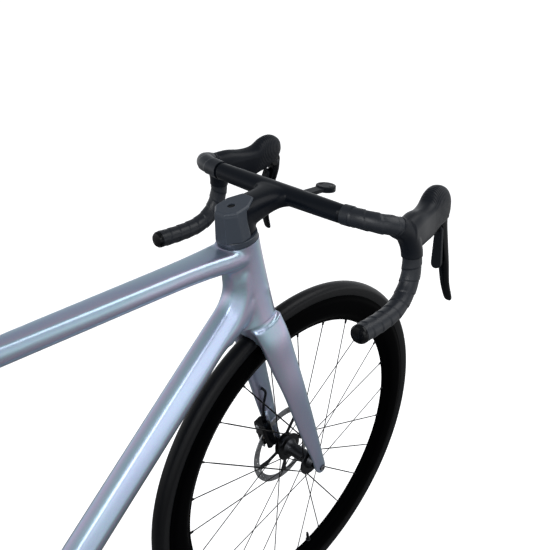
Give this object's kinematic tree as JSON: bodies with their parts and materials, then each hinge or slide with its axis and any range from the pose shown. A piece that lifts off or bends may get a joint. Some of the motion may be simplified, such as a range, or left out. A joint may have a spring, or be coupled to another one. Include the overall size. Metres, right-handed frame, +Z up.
{
  "type": "road bike",
  "caption": "Road racing bicycle with drop bars, disc brakes, deep rims, electric shifting and a one-piece bar and stem.",
  "frame": {"origin": "on the ground, midway between the two wheel axles", "axes": "+X forwards, +Y to the rider's left, +Z up"},
  "size_m": [1.67, 0.457, 0.972],
  "materials": {
    "silver_blue_paint": "glossy metallic silver-blue paint",
    "satin_black_carbon": "satin black",
    "dark_grey_cover": "satin dark grey",
    "bar_tape": "matt charcoal tape",
    "hood_rubber": "matt ribbed rubber",
    "gloss_black": "gloss black",
    "rim_black": "gloss black carbon",
    "tyre_rubber": "matt black rubber",
    "steel": "brushed",
    "chain_steel": "plated",
    "dark_alloy": "anodised black",
    "saddle_skin": "matt synthetic leather",
    "brake_pad": "sintered"
  },
  "bodies": {
    "frame": {"frame": "silver_blue_paint", "headset_lower_bearing": "steel", "headset_upper_bearing": "steel", "bb_cup_left": "dark_alloy", "bb_cup_right": "dark_alloy", "rear_axle": "dark_alloy", "rear_caliper": "gloss_black", "rear_derailleur_body": "dark_alloy", "front_derailleur_body": "gloss_black", "chain": "chain_steel", "seatpost_wedge": "dark_alloy"},
    "steering": {"fork": "silver_blue_paint", "front_axle": "dark_alloy", "headset_cover": "satin_black_carbon", "cockpit": "satin_black_carbon", "stem_cover": "dark_grey_cover", "steerer_bolt": "steel", "bar_tape_left": "bar_tape", "bar_tape_right": "bar_tape", "bar_plug_left": "gloss_black", "bar_plug_right": "gloss_black", "hood_left": "hood_rubber", "hood_right": "hood_rubber", "computer_mount": "satin_black_carbon", "front_caliper": "gloss_black", "front_brake_hose": "satin_black_carbon"},
    "front_wheel": {"front_tyre": "tyre_rubber", "front_rim": "rim_black", "front_hub_and_spokes": "dark_alloy", "front_rotor": "steel"},
    "rear_wheel": {"rear_tyre": "tyre_rubber", "rear_rim": "rim_black", "rear_hub_and_spokes": "dark_alloy", "rear_rotor": "steel"},
    "cassette": {"cassette": "steel"},
    "crank": {"crank_arm_left": "gloss_black", "crank_arm_right": "gloss_black", "crank_spindle": "dark_alloy", "chainring_large": "dark_alloy", "chainring_small": "dark_alloy"},
    "pedal_left": {"pedal_left": "gloss_black"},
    "pedal_right": {"pedal_right": "gloss_black"},
    "brake_lever_left": {"brake_lever_left": "gloss_black"},
    "brake_lever_right": {"brake_lever_right": "gloss_black"},
    "shift_paddle_left": {"shift_paddle_left": "satin_black_carbon"},
    "shift_paddle_right": {"shift_paddle_right": "satin_black_carbon"},
    "front_pad_left": {"front_pad_left": "brake_pad"},
    "front_pad_right": {"front_pad_right": "brake_pad"},
    "rear_pad_left": {"rear_pad_left": "brake_pad"},
    "rear_pad_right": {"rear_pad_right": "brake_pad"},
    "derailleur_links": {"derailleur_links": "gloss_black"},
    "derailleur_knuckle": {"derailleur_knuckle": "gloss_black"},
    "derailleur_cage": {"derailleur_cage": "dark_alloy"},
    "guide_pulley": {"guide_pulley": "satin_black_carbon"},
    "tension_pulley": {"tension_pulley": "satin_black_carbon"},
    "front_derailleur_cage": {"front_derailleur_cage": "dark_alloy"},
    "seatpost": {"seatpost": "satin_black_carbon"},
    "saddle": {"saddle": "saddle_skin", "saddle_rails": "steel", "saddle_clamp": "dark_alloy"}
  },
  "joints": [
    {"name": "steering", "type": "hinge", "parent": "frame", "child": "steering", "pos_m": [0.45281, 0, 0.3275], "axis": [-0.284, 0, 0.9588], "range_deg": [-60, 60]},
    {"name": "front_wheel_spin", "type": "hinge", "parent": "steering", "child": "front_wheel", "pos_m": [0.495, 0, 0.34], "axis": [0, 1, 0], "continuous": true},
    {"name": "rear_wheel_spin", "type": "hinge", "parent": "frame", "child": "rear_wheel", "pos_m": [-0.495, 0, 0.34], "axis": [0, 1, 0], "continuous": true},
    {"name": "crank_spin", "type": "hinge", "parent": "frame", "child": "crank", "pos_m": [-0.09137, 0, 0.268], "axis": [0, 1, 0], "continuous": true},
    {"name": "cassette_spin", "type": "hinge", "parent": "frame", "child": "cassette", "pos_m": [-0.495, 0, 0.34], "axis": [0, 1, 0], "continuous": true},
    {"name": "pedal_left_spin", "type": "hinge", "parent": "crank", "child": "pedal_left", "pos_m": [-0.26387, 0, 0.268], "axis": [0, 1, 0], "continuous": true},
    {"name": "pedal_right_spin", "type": "hinge", "parent": "crank", "child": "pedal_right", "pos_m": [0.08113, 0, 0.268], "axis": [0, 1, 0], "continuous": true},
    {"name": "brake_lever_left", "type": "hinge", "parent": "steering", "child": "brake_lever_left", "pos_m": [0.56198, 0.177, 0.85397], "axis": [0, 1, 0], "range_deg": [0, 21], "stiffness_Nm_per_rad": 1.5, "springref_deg": -8.59},
    {"name": "brake_lever_right", "type": "hinge", "parent": "steering", "child": "brake_lever_right", "pos_m": [0.56198, -0.177, 0.85397], "axis": [0, 1, 0], "range_deg": [0, 21], "stiffness_Nm_per_rad": 1.5, "springref_deg": -8.59},
    {"name": "shift_paddle_left", "type": "hinge", "parent": "brake_lever_left", "child": "shift_paddle_left", "pos_m": [0.55848, 0.1825, 0.82797], "axis": [-1, 0, 0], "range_deg": [0, 8], "stiffness_Nm_per_rad": 0.5, "springref_deg": -5.73},
    {"name": "shift_paddle_right", "type": "hinge", "parent": "brake_lever_right", "child": "shift_paddle_right", "pos_m": [0.55848, -0.1825, 0.82797], "axis": [1, 0, 0], "range_deg": [0, 8], "stiffness_Nm_per_rad": 0.5, "springref_deg": -5.73},
    {"name": "front_pad_left_slide", "type": "slide", "parent": "steering", "child": "front_pad_left", "axis": [0, -1, 0], "range_m": [0, 0.0004]},
    {"name": "front_pad_right_slide", "type": "slide", "parent": "steering", "child": "front_pad_right", "axis": [0, 1, 0], "range_m": [0, 0.0004]},
    {"name": "rear_pad_left_slide", "type": "slide", "parent": "frame", "child": "rear_pad_left", "axis": [0, -1, 0], "range_m": [0, 0.0004]},
    {"name": "rear_pad_right_slide", "type": "slide", "parent": "frame", "child": "rear_pad_right", "axis": [0, 1, 0], "range_m": [0, 0.0004]},
    {"name": "rear_shift", "type": "hinge", "parent": "frame", "child": "derailleur_links", "pos_m": [-0.51279, -0.0705, 0.26622], "axis": [-0.1856, 0.733, 0.6544], "range_deg": [-10, 35], "deforming": ["chain"]},
    {"name": "rear_shift_level", "type": "hinge", "parent": "derailleur_links", "child": "derailleur_knuckle", "pos_m": [-0.4695, -0.0705, 0.2785], "axis": [-0.1856, 0.733, 0.6544], "range_deg": [-35, 10], "deforming": ["chain"]},
    {"name": "cage_swing", "type": "hinge", "parent": "derailleur_knuckle", "child": "derailleur_cage", "pos_m": [-0.474, -0.047, 0.272], "axis": [0, 1, 0], "range_deg": [-25, 20], "stiffness_Nm_per_rad": 0.5, "deforming": ["chain"]},
    {"name": "guide_pulley_spin", "type": "hinge", "parent": "derailleur_cage", "child": "guide_pulley", "pos_m": [-0.478, -0.047, 0.27], "axis": [0, 1, 0], "continuous": true},
    {"name": "tension_pulley_spin", "type": "hinge", "parent": "derailleur_cage", "child": "tension_pulley", "pos_m": [-0.462, -0.047, 0.205], "axis": [0, 1, 0], "continuous": true},
    {"name": "front_shift", "type": "hinge", "parent": "frame", "child": "front_derailleur_cage", "pos_m": [-0.12387, -0.0265, 0.406], "axis": [1, 0, 0], "range_deg": [0, 13], "deforming": ["chain"]},
    {"name": "seatpost_height", "type": "slide", "parent": "frame", "child": "seatpost", "axis": [-0.284, 0, 0.9588], "range_m": [-0.035, 0.03]},
    {"name": "saddle_tilt", "type": "hinge", "parent": "seatpost", "child": "saddle", "pos_m": [-0.28493, 0, 0.90736], "axis": [0, 1, 0], "range_deg": [-8, 8]}
  ],
  "couplings": [
    {"joint": "cassette_spin", "follows": "crank_spin", "ratio": 3.0588},
    {"joint": "guide_pulley_spin", "follows": "crank_spin", "ratio": -4.3333},
    {"joint": "tension_pulley_spin", "follows": "crank_spin", "ratio": 4.3333},
    {"joint": "front_pad_left_slide", "follows": "brake_lever_left", "m_per_rad": 0.001},
    {"joint": "front_pad_right_slide", "follows": "brake_lever_left", "m_per_rad": 0.001},
    {"joint": "rear_pad_left_slide", "follows": "brake_lever_right", "m_per_rad": 0.001},
    {"joint": "rear_pad_right_slide", "follows": "brake_lever_right", "m_per_rad": 0.001},
    {"joint": "rear_shift_level", "follows": "rear_shift", "ratio": -1}
  ]
}
